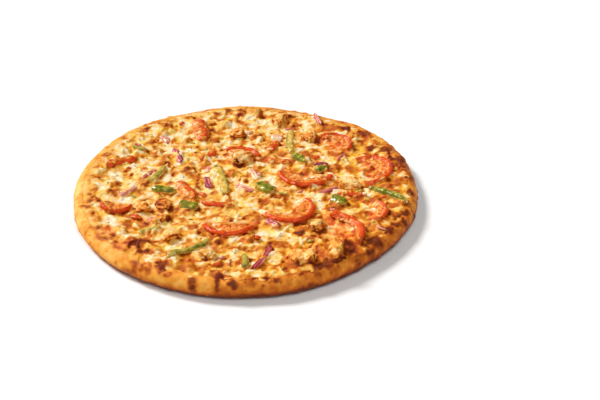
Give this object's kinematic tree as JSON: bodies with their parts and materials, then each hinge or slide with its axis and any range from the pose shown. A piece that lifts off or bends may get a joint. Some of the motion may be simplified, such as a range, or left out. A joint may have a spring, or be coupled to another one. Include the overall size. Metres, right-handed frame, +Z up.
{
  "type": "chicken pizza",
  "caption": "Round baked pizza with a risen crust, browned melted cheese, chicken, tomato slices, green pepper and red onion.",
  "frame": {"origin": "centre of the pizza's outline, on its flat underside", "axes": "+Z up through the toppings, +Y away from the side that is nearest in the picture, +X to the picture's right"},
  "size_m": [0.2998, 0.3008, 0.0247],
  "materials": {
    "baked_crust": "baked dough, dull, golden",
    "melted_cheese": "melted and browned in spots, oily sheen",
    "tomato": "baked tomato, moist",
    "green_pepper": "green pepper skin, shiny",
    "red_onion": "red onion, moist",
    "chicken": "browned chicken, uneven"
  },
  "bodies": {
    "root": {"cheese": "melted_cheese", "chicken_piece_01": "chicken", "chicken_piece_02": "chicken", "chicken_piece_03": "chicken", "chicken_piece_04": "chicken", "chicken_piece_05": "chicken", "chicken_piece_06": "chicken", "chicken_piece_07": "chicken", "chicken_piece_08": "chicken", "chicken_piece_09": "chicken", "chicken_piece_10": "chicken", "chicken_piece_11": "chicken", "chicken_piece_12": "chicken", "chicken_piece_13": "chicken", "crust": "baked_crust", "onion_sliver_01": "red_onion", "onion_sliver_02": "red_onion", "onion_sliver_03": "red_onion", "onion_sliver_04": "red_onion", "onion_sliver_05": "red_onion", "onion_sliver_06": "red_onion", "onion_sliver_07": "red_onion", "onion_sliver_08": "red_onion", "onion_sliver_09": "red_onion", "onion_sliver_10": "red_onion", "onion_sliver_11": "red_onion", "onion_sliver_12": "red_onion", "onion_sliver_13": "red_onion", "pepper_piece_01": "green_pepper", "pepper_piece_02": "green_pepper", "pepper_piece_03": "green_pepper", "pepper_piece_04": "green_pepper", "pepper_piece_05": "green_pepper", "pepper_piece_06": "green_pepper", "pepper_strip_01": "green_pepper", "pepper_strip_02": "green_pepper", "pepper_strip_03": "green_pepper", "pepper_strip_04": "green_pepper", "pepper_strip_05": "green_pepper", "pepper_strip_06": "green_pepper", "pepper_strip_07": "green_pepper", "pepper_strip_08": "green_pepper", "tomato_slice_01": "tomato", "tomato_slice_02": "tomato", "tomato_slice_03": "tomato", "tomato_slice_04": "tomato", "tomato_slice_05": "tomato", "tomato_slice_06": "tomato", "tomato_slice_07": "tomato", "tomato_slice_08": "tomato", "tomato_slice_09": "tomato", "tomato_wedge_01": "tomato", "tomato_wedge_02": "tomato", "tomato_wedge_03": "tomato", "tomato_wedge_04": "tomato", "tomato_wedge_05": "tomato", "tomato_wedge_06": "tomato", "tomato_wedge_07": "tomato", "tomato_wedge_08": "tomato"}
  },
  "joints": []
}
